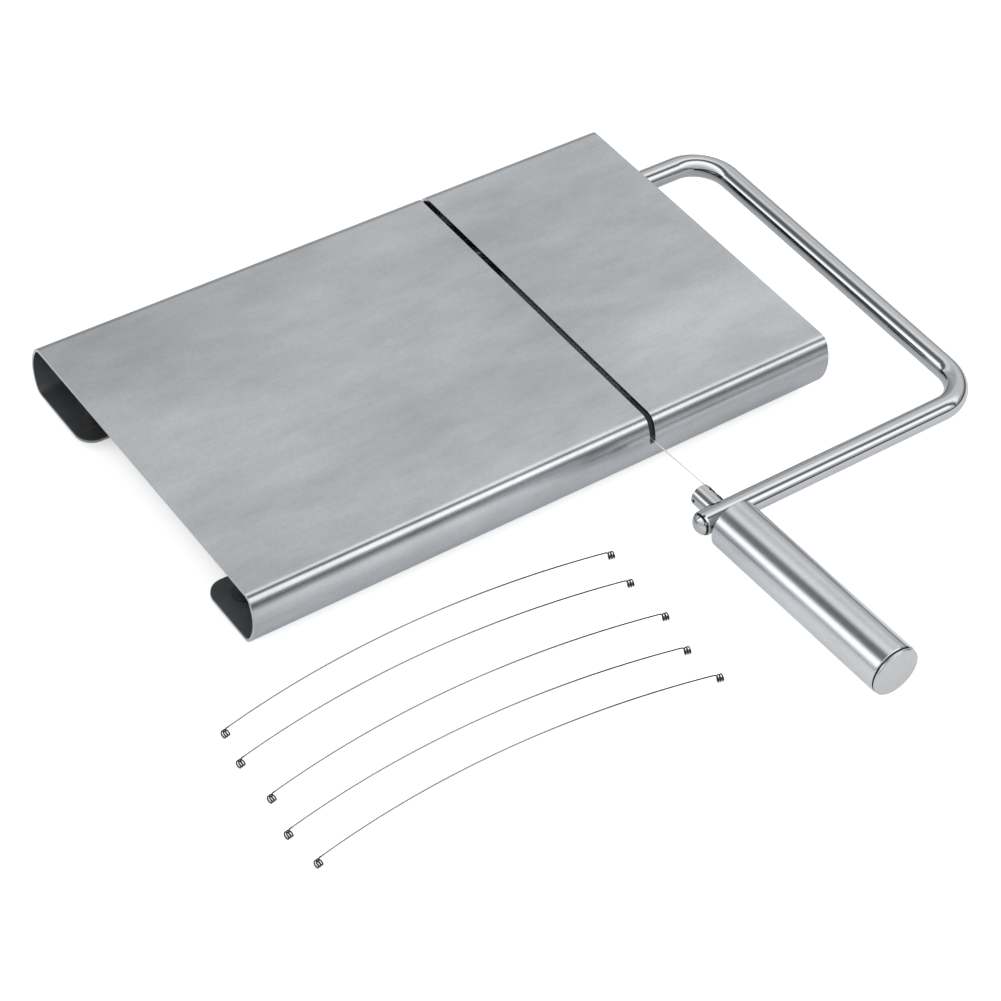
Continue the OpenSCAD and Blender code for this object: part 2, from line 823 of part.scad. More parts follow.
placed() deck_board();
placed() hinge_bracket_inner();
placed() hinge_bracket_outer();
placed() bracket_rivets();
placed() bush_inner();
placed() bush_outer();
placed() arm_rod();
placed() clip_inner();
placed() clip_outer();
placed() cutting_wire();
placed() wire_holder();
placed() handle_tube();
placed() handle_insert();
placed() handle_cap();
placed() foot_front_left();
placed() foot_front_right();
placed() foot_rear_left();
placed() foot_rear_right();
placed() spare_wire(0);  // spare_wire_1
placed() spare_wire(1);  // spare_wire_2
placed() spare_wire(2);  // spare_wire_3
placed() spare_wire(3);  // spare_wire_4
placed() spare_wire(4);  // spare_wire_5
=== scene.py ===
"""A cheese board with a wire cutter: procedural finishes for its steel, nylon and rubber parts, round
drawn wires in place of the faceted ones, a white table and soft studio light.
Lengths named here are in millimetres, from the middle of the board, unless a name says otherwise."""
import json
import math

import bpy
import numpy as np
from mathutils import Matrix, Vector


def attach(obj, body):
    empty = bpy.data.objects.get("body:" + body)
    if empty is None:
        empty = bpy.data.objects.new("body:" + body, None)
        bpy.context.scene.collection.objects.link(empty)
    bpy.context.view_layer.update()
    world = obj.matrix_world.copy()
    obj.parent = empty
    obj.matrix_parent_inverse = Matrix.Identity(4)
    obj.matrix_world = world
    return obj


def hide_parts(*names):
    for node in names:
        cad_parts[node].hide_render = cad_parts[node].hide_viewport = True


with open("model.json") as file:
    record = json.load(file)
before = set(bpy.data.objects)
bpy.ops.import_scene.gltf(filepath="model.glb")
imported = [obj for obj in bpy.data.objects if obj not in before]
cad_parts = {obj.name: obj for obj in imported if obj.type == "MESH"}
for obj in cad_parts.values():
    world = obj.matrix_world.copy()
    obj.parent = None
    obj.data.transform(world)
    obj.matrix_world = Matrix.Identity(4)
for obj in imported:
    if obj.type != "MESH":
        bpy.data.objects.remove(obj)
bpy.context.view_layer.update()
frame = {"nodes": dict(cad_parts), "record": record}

MM = 0.001
# The origin is under the front left foot, and this is the middle of the board seen from there
BOARD_MIDDLE = np.array([101.0, 46.0, 0.0])


def to_frame(point):
    """A point from the middle of the board, in millimetres, as one in the frame, in metres."""
    return Vector((np.asarray(point, float) + BOARD_MIDDLE) * MM)


CAMERA_AT = (-400.18486, -522.45417, 610.93007)
CAMERA_TURN = (2.28440826, -0.69507287, 0.38299223)
FOCAL_PX = 2754.3203508
PICTURE_PX = 1001.0
SENSOR_MM = 36.0
CLIP_END_M = 20.0


def make_camera():
    """The camera of the photograph. CAMERA_TURN turns the frame into x right, y down, z forward."""
    angle = np.linalg.norm(CAMERA_TURN)
    turn = Matrix.Rotation(angle, 3, Vector(CAMERA_TURN).normalized())
    right, down, forward = turn.row
    place = Matrix.Identity(4)
    for i in range(3):
        place[i][0], place[i][1], place[i][2] = right[i], -down[i], -forward[i]
    place.translation = to_frame(CAMERA_AT)
    data = bpy.data.cameras.new("camera")
    data.sensor_fit = "HORIZONTAL"
    data.sensor_width = SENSOR_MM
    data.lens = FOCAL_PX / PICTURE_PX * SENSOR_MM
    data.clip_end = CLIP_END_M
    camera = bpy.data.objects.new("camera", data)
    camera.matrix_world = place
    bpy.context.scene.collection.objects.link(camera)
    bpy.context.scene.camera = camera


class Tree:
    """Adds nodes to a material's or the world's node tree."""

    def __init__(self, owner):
        owner.use_nodes = True
        self.tree = owner.node_tree
        self.tree.nodes.clear()

    def add(self, kind, **values):
        """A node, with attributes by name. Inputs go in through put()."""
        node = self.tree.nodes.new(kind)
        for name, value in values.items():
            setattr(node, name, value)
        return node

    def put(self, node, **inputs):
        """Sets a node's inputs, by name with _ for a space, to a number or another node's output."""
        for name, value in inputs.items():
            socket = self.socket(node, name)
            if isinstance(value, bpy.types.NodeSocket):
                self.tree.links.new(value, socket)
            else:
                socket.default_value = value
        return node

    @staticmethod
    def socket(node, name):
        """A node's input by its name with _ for a space, or by its number, as in in_0."""
        if name.startswith("in_"):
            return node.inputs[int(name[3:])]
        return node.inputs[name.replace("_", " ")]

    def math(self, operation, *values):
        node = self.add("ShaderNodeMath", operation=operation)
        self.put(node, **{"in_%d" % i: v for i, v in enumerate(values)})
        return node.outputs[0]

    def ramp(self, factor, stops):
        """Straight lines through (place, level) stops, all of them from 0 to 1."""
        node = self.add("ShaderNodeValToRGB")
        node.color_ramp.interpolation = "LINEAR"
        points = node.color_ramp.elements
        while len(points) < len(stops):
            points.new(0.5)
        for point, (place, level) in zip(points, stops):
            point.position = place
            point.color = (level, level, level, 1.0)
        self.put(node, Fac=factor)
        return node.outputs["Color"]

    def between(self, value, start, end, low=0.0, high=1.0, kind="LINEAR"):
        """Maps start to end onto low to high, and stays at low or high beyond them."""
        node = self.add("ShaderNodeMapRange", interpolation_type=kind)
        self.put(node, Value=value, From_Min=start, From_Max=end, To_Min=low, To_Max=high)
        return node.outputs["Result"]

    def spread(self, factor, low, high):
        """Maps 0 to 1 onto low to high."""
        return self.between(factor, 0.0, 1.0, low, high)

    def place(self, scale):
        """The surface's own coordinates, in metres, stretched."""
        coordinates = self.add("ShaderNodeTexCoord").outputs["Object"]
        node = self.add("ShaderNodeMapping", vector_type="POINT")
        self.put(node, Vector=coordinates, Scale=scale)
        return node.outputs["Vector"]

    def parts(self, kind):
        """The x, y and z of one kind of texture coordinate."""
        node = self.add("ShaderNodeSeparateXYZ")
        self.put(node, Vector=self.add("ShaderNodeTexCoord").outputs[kind])
        return node.outputs

    def noise(self, vector, scale, kind):
        """Noise of one kind, which is its detail and its roughness."""
        detail, roughness = kind
        node = self.add("ShaderNodeTexNoise")
        self.put(node, Vector=vector, Scale=scale, Detail=detail, Roughness=roughness)
        return node.outputs["Fac"]

    def mix_colour(self, factor, a, b):
        """A mix of two colours, each a triple or another node's output."""
        node = self.add("ShaderNodeMix", data_type="RGBA")
        sockets = [s for s in node.inputs if s.type == "RGBA"]
        self.put(node, in_0=factor)
        for socket, value in zip(sockets, (a, b)):
            if isinstance(value, bpy.types.NodeSocket):
                self.tree.links.new(value, socket)
            else:
                socket.default_value = (*value, 1.0)
        return [s for s in node.outputs if s.type == "RGBA"][0]

    def scaled(self, colour, factor):
        """A colour times a number."""
        node = self.add("ShaderNodeVectorMath", operation="SCALE")
        self.put(node, Vector=colour, Scale=factor)
        return node.outputs[0]

    def bump(self, height, distance, normal=None):
        node = self.add("ShaderNodeBump")
        self.put(node, Height=height, Distance=distance)
        if normal is not None:
            self.put(node, Normal=normal)
        return node.outputs["Normal"]

    def shader(self, kind, **inputs):
        """A shader node's own shader."""
        return self.put(self.add(kind), **inputs).outputs[0]

    def toward(self, value, target, share):
        """A value moved toward a target by a share."""
        change = self.math("MULTIPLY", share, self.math("SUBTRACT", target, value))
        return self.math("ADD", value, change)

    def surface(self, shader):
        """Makes a shader the material's surface."""
        self.put(self.add("ShaderNodeOutputMaterial"), Surface=shader)


def shades(colour, spread):
    """A darker and a lighter shade of a colour."""
    return tuple(c * (1 - spread) for c in colour), tuple(min(c * (1 + spread), 1) for c in colour)


# Stretches of the coordinates that noise is laid on: the marks run along the least of the three
ALONG_X = (1.0, 60.0, 60.0)
ALONG_Y = (60.0, 1.0, 60.0)
DECK_STREAKS = (1.0, 22.0, 22.0)
ROUND_Y = (1.0, 40.0, 1.0)
EVEN = (1.0, 1.0, 1.0)
CLOUD_STRETCH = (0.4, 1.0, 1.0)
# Kinds of noise, as their detail and roughness
WIDE, SMALL, BRUSHED, GRAIN = (3.0, 0.55), (4.0, 0.65), (5.0, 0.7), (2.0, 0.6)
MOULD_CLOUDS, MOULD_GRAIN = (4.0, 0.6), (3.0, 0.6)
# How much finer the small clouds are than the wide ones, and the share of each
SMALLER = 5.3
WIDE_SHARE, SMALL_SHARE = 0.72, 0.28
# Stretches the clouds' narrow range of levels onto all shades of the colour
CLOUD_LOW, CLOUD_HIGH = -0.9, 1.9
# The least part of a normal along X that makes a face an end of the sheet
END_FACING = 0.9
# And the least part along Z that makes it level
LEVEL_FACING = 0.995
FOLD_MIDDLE = (0.0, 0.0, 14.25)
# Rubber and nylon
MOULD_CLOUD_SCALE = 90.0
MOULD_ROUGH_SPREAD = 0.06
MOULD_SHINE = 0.3


def steel(name, colour, rough, cloud=0.05, streaks=ALONG_X, streak_depth=1.5e-6, cloud_scale=26.0,
          streak_scale=26.0, streak_shade=0.03, grain_scale=900.0, grain_shade=0.03, grain_depth=5e-7,
          rough_spread=0.05, edge=None, flat_rough=None, inner_rough=None, inner_shade=1.0,
          shade=None):
    """Steel: clouds of two sizes in its colour and roughness, fine marks along one direction, a fine
    grain, with depths in metres. An edge colour is for sheared ends, which face along X. A flat roughness
    is for level faces, and an inner one for the inside of the folded sheet, whose colour the inner
    painted shade darkens. The shade is a function that paints light or shade into the colour, as a factor
    by the place on the piece."""
    material = bpy.data.materials.new(name)
    tree = Tree(material)
    drawn = tree.place(CLOUD_STRETCH)
    wide = tree.noise(drawn, cloud_scale, WIDE)
    small = tree.noise(drawn, SMALLER * cloud_scale, SMALL)
    brushed = tree.noise(tree.place(streaks), streak_scale, BRUSHED)
    grain = tree.noise(tree.place(EVEN), grain_scale, GRAIN)
    clouds = tree.math("ADD", tree.math("MULTIPLY", wide, WIDE_SHARE),
                       tree.math("MULTIPLY", small, SMALL_SHARE))
    dark, light = shades(colour, cloud)
    cloudy = tree.mix_colour(tree.spread(clouds, CLOUD_LOW, CLOUD_HIGH), dark, light)
    streaky = tree.spread(brushed, 1 - streak_shade, 1 + streak_shade)
    grainy = tree.spread(grain, 1 - grain_shade, 1 + grain_shade)
    base = tree.scaled(cloudy, tree.math("MULTIPLY", streaky, grainy))
    roughness = tree.math("ADD", tree.spread(clouds, rough - rough_spread, rough + rough_spread),
                          tree.spread(brushed, -rough_spread / 2, rough_spread / 2))
    base, roughness = by_face(tree, base, roughness, edge, flat_rough, inner_rough, inner_shade)
    # Painted light or shade, where given, multiplies the colour.
    if shade:
        base = tree.scaled(base, shade(tree))
    normal = tree.bump(grain, grain_depth, tree.bump(brushed, streak_depth))
    tree.surface(tree.shader("ShaderNodeBsdfPrincipled", Metallic=1.0, Base_Color=base,
                             Roughness=roughness, Normal=normal))
    return material


def by_face(tree, base, roughness, edge, flat_rough, inner_rough, inner_shade):
    """Colour and roughness, changed on the sheet's ends, on its level faces and inside its folds, where
    painted shade darkens the colour.
    """
    if edge:
        along_x = tree.math("ABSOLUTE", tree.parts("Normal")[0])
        end = tree.math("GREATER_THAN", along_x, END_FACING)
        base = tree.mix_colour(end, base, edge)
    if flat_rough:
        level = tree.math("GREATER_THAN", tree.parts("Normal")[2], LEVEL_FACING)
        roughness = tree.toward(roughness, flat_rough, level)
    if inner_rough:
        inside = inside_the_fold(tree)
        roughness = tree.toward(roughness, inner_rough, inside)
        # Painted shade: the inside of the fold is darkened.
        base = tree.scaled(base, tree.spread(inside, 1.0, inner_shade))
    return base, roughness


def inside_the_fold(tree):
    """1 where the sheet faces the middle of the fold, and 0 outside it."""
    spot = tree.parts("Object")
    facing = tree.parts("Normal")
    middle = to_frame(FOLD_MIDDLE)
    out_y = tree.math("MULTIPLY", facing[1], tree.math("SUBTRACT", spot[1], middle.y))
    out_z = tree.math("MULTIPLY", facing[2], tree.math("SUBTRACT", spot[2], middle.z))
    return tree.math("LESS_THAN", tree.math("ADD", out_y, out_z), -MM)


def painted_groove_shade(tree):
    """Painted shade: dark in the groove round the bar's front end, where shade falls."""
    spot = tree.parts("Object")
    middle = to_frame(arm_point([GROOVE_X, -ARM_REACH, 0]))
    x, y, z = (tree.math("SUBTRACT", spot[i], middle[i]) for i in range(3))
    off = tree.math("SQRT", tree.math("ADD", tree.math("MULTIPLY", y, y), tree.math("MULTIPLY", z, z)))
    beside = tree.math("LESS_THAN", tree.math("ABSOLUTE", x), GROOVE_HALF_W * MM)
    inside = tree.math("MULTIPLY", beside, tree.math("LESS_THAN", off, GROOVE_RIM_R * MM))
    return tree.spread(inside, 1.0, PAINTED_GROOVE_SHADE)


def painted_wire_light(tree):
    """Painted light: a painted highlight along the left of a spare wire, and painted shade on its right
    and on its coils.
    """
    return tree.ramp(tree.parts("Generated")[0], PAINTED_WIRE_LIGHT)


def moulded(name, colour, rough, cloud, grain_scale, grain_depth, subsurface=0.0):
    """Rubber or nylon: a fine moulded grain and faint uneven colour."""
    material = bpy.data.materials.new(name)
    tree = Tree(material)
    even = tree.place(EVEN)
    clouds = tree.noise(even, MOULD_CLOUD_SCALE, MOULD_CLOUDS)
    grain = tree.noise(even, grain_scale, MOULD_GRAIN)
    dark, light = shades(colour, cloud)
    roughness = tree.spread(clouds, rough - MOULD_ROUGH_SPREAD, rough + MOULD_ROUGH_SPREAD)
    tree.surface(tree.shader("ShaderNodeBsdfPrincipled", Base_Color=tree.mix_colour(clouds, dark, light),
                             Subsurface_Weight=subsurface, Subsurface_Scale=MM,
                             Specular_IOR_Level=MOULD_SHINE, Roughness=roughness,
                             Normal=tree.bump(grain, grain_depth)))
    return material


def make_finishes():
    """One material for each of the record's slots."""
    return {
        # The deck's inside gets painted shade.
        "deck_steel": steel("deck_steel", (0.56, 0.58, 0.60), 0.19, cloud=0.19, streaks=DECK_STREAKS,
                            streak_depth=2e-6, streak_scale=40.0, streak_shade=0.08, grain_shade=0.09,
                            edge=(0.72, 0.73, 0.74), flat_rough=0.34, inner_rough=0.36,
                            inner_shade=0.8),
        "bracket_steel": steel("bracket_steel", (0.56, 0.565, 0.57), 0.34, streaks=ALONG_Y),
        "rivet_steel": steel("rivet_steel", (0.66, 0.665, 0.67), 0.24, cloud_scale=200.0),
        "bush_nylon": moulded("bush_nylon", (0.80, 0.78, 0.73), 0.42, cloud=0.04, subsurface=0.15,
                              grain_scale=2500.0, grain_depth=2e-6),
        # The arm's groove gets painted shade.
        "arm_steel": steel("arm_steel", (0.582, 0.598, 0.618), 0.09, streaks=EVEN,
                           streak_depth=3e-7, grain_scale=1800.0, grain_depth=3e-7, rough_spread=0.03,
                           shade=painted_groove_shade),
        "clip_steel": steel("clip_steel", (0.42, 0.42, 0.43), 0.3, cloud_scale=200.0),
        # The spare wires get a painted highlight and painted shade.
        "wire_steel": steel("wire_steel", (0.34, 0.345, 0.355), 0.12, streaks=EVEN, streak_scale=500.0,
                            shade=painted_wire_light),
        "cutting_wire_steel": steel("cutting_wire_steel", (0.8, 0.81, 0.82), 0.2, streaks=EVEN,
                                    streak_scale=500.0),
        "holder_steel": steel("holder_steel", (0.612, 0.624, 0.642), 0.11, streaks=ROUND_Y,
                              streak_scale=90.0, streak_depth=6e-7),
        "handle_steel": steel("handle_steel", (0.655, 0.677, 0.703), 0.16, cloud=0.06, streaks=ROUND_Y,
                              streak_scale=60.0, streak_depth=8e-7, grain_shade=0.07),
        "insert_steel": steel("insert_steel", (0.60, 0.60, 0.61), 0.26, streaks=ROUND_Y),
        "cap_steel": steel("cap_steel", (0.60, 0.61, 0.62), 0.26, cloud=0.1, streak_shade=0.06,
                           grain_shade=0.1),
        "foot_rubber": moulded("foot_rubber", (0.013, 0.013, 0.0135), 0.55, cloud=0.25,
                               grain_scale=1500.0, grain_depth=2e-5),
    }


def dress_nodes(finishes):
    """Gives every CAD node the finish of its slot."""
    slots = {s["node"]: s["material_slot"] for s in frame["record"]["subparts"]}
    for name, node in frame["nodes"].items():
        node.data.materials.clear()
        node.data.materials.append(finishes[slots[name]])


# A wire, and the coil at each of its ends, which starts with a hook
WIRE_D = 0.45
COIL_R = 1.08
COIL_PITCH = 0.8
COIL_TURNS = 2.5
HOOK_L = 0.8
HOOK_STEPS = 10
TURN_STEPS = 24
TUBE_SIDES = 12
# The rings that round over a tube's end, from the tube outwards: how wide they are and how far out they
# lie, as shares of the tube's radius
END_RINGS = ((0.9, 0.3), (0.55, 0.5))
# A direction that no wire starts along
START_WAY = (0.3, 0.2, 1.0)

# Where the mounted wire runs: the bar, its pivot and droop, the slot, the handle and the holder
ROD_R = 4.0
SEAT_GAP = 0.05
PIVOT_Y, PIVOT_Z = 40.8, 14.25
DROOP = math.radians(0.65)
FRONT_Y = -66.5
ARM_FRONT_GAP = 34.2
ARM_REACH = (PIVOT_Y - FRONT_Y + ARM_FRONT_GAP) / math.cos(DROOP)
SLOT_X, SLOT_W, SLOT_END_Z = 37.1, 2.2, 15.4
HANDLE_FROM_SLOT = 1.1
HANDLE_X = SLOT_X + HANDLE_FROM_SLOT
HANDLE_DIP = math.radians(3.5)
HANDLE_TILT = math.pi / 2 - HANDLE_DIP
HOLDER_L, HOLDER_TRAVEL, HOLDER_OPEN = 11.0, 1.4, math.radians(40)
WIRE_OFF = 3.1
WIRE_EXIT_Z = -9.55
BODY_GAP, RUN_FIT = 0.3, 0.05
KINK_REACH = 1.5
# Where a side of a corner is cut, and how many times
CUT_SHARES = (0.25, 0.75)
CUT_ROUNDS = 3

# The groove near the bar's front end, and the painted shade in it
ROD_TAIL = 10.7
GROOVE_FROM_END = 2.0
GROOVE_X = HANDLE_X - ROD_TAIL + GROOVE_FROM_END
GROOVE_HALF_W, GROOVE_RIM_R = 0.36, 3.98
PAINTED_GROOVE_SHADE = 0.25

# The spare wires, which lie on the table in front of the board
SPARE_BOW_R = 285.0
SPARE_GAP, SPARE_SPREAD, SPARE_LEFT, SPARE_STRAY = 11.8, 55.3, 63.2, 4.1
# Each spare wire's place from the nearest to the board to the farthest, and its stray to the left
SPARE_ROWS = (0.0, 0.22, 0.51, 0.76, 1.0)
SPARE_STRAYS = (0.0, 0.5, 0.32, 1.0, 0.6)
SPARE_TURN_FIRST, SPARE_TURN_MORE = math.radians(0.8), math.radians(1.75)
SPARE_LEAN = math.radians(40)
SPARE_L = 136.118
BOW_STEPS = 60
# A spare wire's painted highlight and painted shade, by the share of its length from the left
PAINTED_WIRE_LIGHT = ((0.0, 0.1), (0.018, 0.1), (0.026, 1.0), (0.55, 1.0), (0.8, 0.12), (1.0, 0.1))


def unit(v):
    v = np.asarray(v, float)
    return v / np.linalg.norm(v)


def arm_point(p):
    """A point of the arm's own frame: x along the pivot, y to the rear, z square to the arm."""
    c, s = math.cos(DROOP), math.sin(DROOP)
    return np.array([p[0], PIVOT_Y + p[1] * c - p[2] * s, PIVOT_Z + p[1] * s + p[2] * c])


def handle_point(p):
    """A point of the handle's own frame: z outwards along the handle, y up."""
    c, s = math.cos(HANDLE_TILT), math.sin(HANDLE_TILT)
    return arm_point([HANDLE_X + p[0], -ARM_REACH + p[1] * c - p[2] * s, p[1] * s + p[2] * c])


def coil_end(p, d, n):
    """The small coil that ends a wire: it leaves p along d, on the side n of the coil's axis."""
    side = np.cross(d, n)

    def entry(turn, along):
        away = n * math.cos(turn) + side * math.sin(turn)
        return p - n * COIL_R + away * COIL_R + d * along

    hook_turn = math.pi / 2
    points = [entry(hook_turn * s * s, HOOK_L * s) for s in np.linspace(0, 1, HOOK_STEPS + 1)]
    for k in range(1, round(COIL_TURNS * TURN_STEPS) + 1):
        share = k / TURN_STEPS
        points.append(entry(hook_turn + 2 * math.pi * share, HOOK_L + COIL_PITCH * share))
    return points


def corners_cut(points):
    """Cuts each inner corner of a route, so that it bends smoothly."""
    out = [points[0]]
    for i in range(len(points) - 1):
        for share in CUT_SHARES:
            if (i, share) not in ((0, CUT_SHARES[0]), (len(points) - 2, CUT_SHARES[1])):
                out.append(points[i] * (1 - share) + points[i + 1] * share)
    return out + [points[-1]]


def mounted_route():
    """The taut wire: slit in the bar, cutting slot, slot's end in the front wall, holder."""
    side_gap = BODY_GAP + WIRE_D / 2 + RUN_FIT
    front = np.array([SLOT_X + SLOT_W / 2 - side_gap, FRONT_Y, SLOT_END_Z + side_gap])
    rear_exit = arm_point([SLOT_X - WIRE_D / 2, ROD_R + SEAT_GAP, 0])
    open_way = np.array([math.sin(HOLDER_OPEN), math.cos(HOLDER_OPEN), 0])
    holder_exit = handle_point(open_way * WIRE_OFF + [0, 0, WIRE_EXIT_Z])
    mouth = handle_point(open_way * WIRE_OFF + [0, 0, -HOLDER_L - HOLDER_TRAVEL])
    before = front + unit(rear_exit - front) * KINK_REACH
    after = front + unit(mouth - front) * KINK_REACH
    bend = [before, front, after]
    for _ in range(CUT_ROUNDS):
        bend = corners_cut(bend)
    route = [rear_exit, *bend, mouth + unit(front - mouth) * WIRE_D, mouth, holder_exit]
    return route, np.array([1, 0, 0]), handle_point(open_way) - handle_point([0, 0, 0])


def outward(turn):
    """The level direction from the middle of a bow, turned from the rear."""
    return np.array([math.sin(-turn), math.cos(turn), 0])


def spare_route(i):
    """Spare wire i: a flat bow that stands on its two coils and its middle."""
    half = SPARE_L / SPARE_BOW_R / 2
    mid = -SPARE_TURN_FIRST - SPARE_TURN_MORE * SPARE_ROWS[i]
    end_z = COIL_R + WIRE_D / 2 + COIL_R * math.sin(SPARE_LEAN)
    middle = np.array([-SPARE_LEFT - SPARE_STRAY * SPARE_STRAYS[i],
                       FRONT_Y - SPARE_GAP - SPARE_SPREAD * SPARE_ROWS[i], WIRE_D / 2])
    hub = middle - outward(mid) * SPARE_BOW_R

    def at(share):
        bow = outward(share * half + mid) * SPARE_BOW_R
        return hub + bow + np.array([0, 0, (end_z - WIRE_D / 2) * share * share])

    def side(share):
        flat = outward(share * half + mid)
        return flat * math.cos(SPARE_LEAN) + np.array([0, 0, math.sin(SPARE_LEAN)])

    return [at(s) for s in np.linspace(-1, 1, BOW_STEPS + 1)], side(-1), side(1)


def whole_wire(route, first_n, last_n):
    """Points of a wire with its two coils."""
    first_d, last_d = unit(route[0] - route[1]), unit(route[-1] - route[-2])
    return coil_end(route[0], first_d, first_n)[::-1] + route[1:-1] + coil_end(route[-1], last_d, last_n)


def smooth_tube(name, points, d):
    """A round tube along points, with rounded-over ends, whose sides don't twist."""
    points = np.array(points)
    steps = np.diff(points, axis=0)
    along = np.vstack([steps[:1], steps[:-1] + steps[1:], steps[-1:]])
    along /= np.linalg.norm(along, axis=1)[:, None]
    side = unit(np.cross(along[0], START_WAY))
    rings = []
    turns = np.linspace(0, 2 * math.pi, TUBE_SIDES, endpoint=False)
    for p, a in zip(points, along):
        side = unit(side - a * side.dot(a))
        up = np.cross(a, side)
        rings.append([(p, a, side * math.cos(t) + up * math.sin(t)) for t in turns])

    def ring(source, way=0, width=1, out=0):
        return [to_frame(p + r * width * d / 2 + a * way * out * d / 2) for p, a, r in source]

    first = [ring(rings[0], -1, *end) for end in reversed(END_RINGS)]
    last = [ring(rings[-1], 1, *end) for end in END_RINGS]
    all_rings = first + [ring(r) for r in rings] + last
    verts = [v for r in all_rings for v in r]
    n = TUBE_SIDES
    faces = [(i * n + k, i * n + (k + 1) % n, (i + 1) * n + (k + 1) % n, (i + 1) * n + k)
             for i in range(len(all_rings) - 1) for k in range(n)]
    faces += [tuple(range(n))[::-1], tuple(range(len(verts) - n, len(verts)))]
    mesh = bpy.data.meshes.new(name)
    mesh.from_pydata(verts, [], faces)
    mesh.shade_smooth()
    piece = bpy.data.objects.new(name, mesh)
    bpy.context.scene.collection.objects.link(piece)
    return piece


def make_wires(finishes):
    """Round wires with their coils, each in place of its CAD node. The handle doesn't mirror the spare
    ones."""
    jobs = [("cutting_wire", "arm", "cutting_wire_steel", mounted_route())]
    for i in range(len(SPARE_ROWS)):
        jobs.append(("spare_wire_%d" % (i + 1), "board", "wire_steel", spare_route(i)))
    for node, body, slot, (route, first_n, last_n) in jobs:
        piece = smooth_tube("round_" + node, whole_wire(route, first_n, last_n), WIRE_D)
        piece.data.materials.append(finishes[slot])
        piece.visible_glossy = body == "arm"
        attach(piece, body)
        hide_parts(node)


TABLE_HALF_M = 6.0
TABLE_COLOUR = (0.86, 0.86, 0.86)
# What metal mirrors of the table near the board, with a painted shadow, and of the table far off
FOOT_PAINTED_SHADOW_COLOUR = (0.6, 0.61, 0.62)
FAR_TABLE_COLOUR = (0.3, 0.3, 0.3, 1.0)
# Glow of the table as the camera and as metal see it
CAMERA_LIFT = 0.62
METAL_LIFT = 0.12
# The board's half length and half depth, and places outside it, negative under it, where the glow
# starts and is full, where the mirrored painted shadow at the foot ends, and where the far table starts
# and is full
BOARD_HALF = (0.110, 0.0665)
GLOW_START_M, GLOW_FULL_M = -0.028, -0.006
FOOT_SHADOW_M = 0.07
FAR_START_M, FAR_FULL_M = 0.22, 0.6


def off_the_board(tree):
    """How far a place of the table lies outside the board."""
    spot = tree.parts("Object")
    middle = to_frame((0, 0, 0))
    out = [tree.math("SUBTRACT", tree.math("ABSOLUTE", tree.math("SUBTRACT", spot[i], middle[i])),
                     BOARD_HALF[i]) for i in range(2)]
    return tree.math("MAXIMUM", *out)


def table_finish():
    """Lit near the board, with a painted shadow at its foot that only reflections see, fading to a dim
    room for reflections, and white to the camera.
    """
    material = bpy.data.materials.new("table")
    tree = Tree(material)
    path = tree.add("ShaderNodeLightPath").outputs
    camera = path["Is Camera Ray"]
    bent = tree.math("MAXIMUM", path["Is Glossy Ray"], path["Is Transmission Ray"])
    off = off_the_board(tree)
    glowing = tree.between(off, GLOW_START_M, GLOW_FULL_M, kind="SMOOTHSTEP")
    foot = tree.between(off, 0.0, FOOT_SHADOW_M, 1.0, 0.0, "SMOOTHSTEP")
    far = tree.between(off, FAR_START_M, FAR_FULL_M, kind="SMOOTHSTEP")
    seen = tree.math("ADD", tree.math("MULTIPLY", camera, CAMERA_LIFT),
                     tree.math("MULTIPLY", bent, METAL_LIFT))
    # Painted shadow: metal sees the table near the board in the darker foot colour.
    colour = tree.mix_colour(tree.math("MULTIPLY", bent, foot), TABLE_COLOUR, FOOT_PAINTED_SHADOW_COLOUR)
    matt = tree.shader("ShaderNodeBsdfDiffuse", Color=colour)
    glow = tree.shader("ShaderNodeEmission", Strength=tree.math("MULTIPLY", seen, glowing))
    lit = tree.shader("ShaderNodeAddShader", in_0=matt, in_1=glow)
    dim = tree.shader("ShaderNodeBsdfDiffuse", Color=FAR_TABLE_COLOUR)
    white = tree.shader("ShaderNodeEmission", Strength=1.0)
    room = tree.shader("ShaderNodeMixShader", in_0=camera, in_1=dim, in_2=white)
    tree.surface(tree.shader("ShaderNodeMixShader", in_0=far, in_1=lit, in_2=room))
    return material


def make_table():
    """A wide white table."""
    mesh = bpy.data.meshes.new("table")
    h = TABLE_HALF_M
    mesh.from_pydata([(-h, -h, 0), (h, -h, 0), (h, h, 0), (-h, h, 0)], [], [(0, 1, 2, 3)])
    mesh.materials.append(table_finish())
    table = bpy.data.objects.new("table", mesh)
    bpy.context.scene.collection.objects.link(table)


# Level of the studio's soft boxes and dark gap, by their place across the ceiling: from in front of
# the board, over it, to behind it. A place is a share of the ceiling's height.
STUDIO = ((-3.0, 0.72), (-1.5, 0.78), (-0.9, 1.15), (-0.5, 1.6), (-0.2, 1.7), (-0.1, 1.3), (0.0, 0.3),
          (0.09, 0.17), (0.22, 0.17), (0.32, 0.5), (0.38, 1.3), (0.55, 1.45), (0.72, 1.0), (0.97, 0.77),
          (1.25, 0.87), (2.0, 0.7), (3.0, 0.6))
STUDIO_REACH = 3.0
# A colour ramp holds levels up to 1, so they go in halved
RAMP_SHARE = 0.5
# The way across the ceiling, away from the camera
AWAY = (0.66, 0.75)
# No direction counts as lower than this, so that its place on the ceiling stays finite
LOWEST = 0.03
# The dark gap shifts with the place along it, most at its front edge
GAP_SKEW, SKEW_FROM, SKEW_TO = 0.09, 0.05, 0.25
SIDE_LOW, SIDE_HIGH = -1.0, 0.5
# The rear boxes are dimmer to the left, and all boxes dimmer far to the right
REAR_FROM, NOT_REAR = 0.2, -9.0
LEFT_FROM, LEFT_TO, LEFT_SHARE = -0.1, 0.3, 0.7
RIGHT_FROM, RIGHT_TO, RIGHT_SHARE = -1.75, -2.8, 0.5
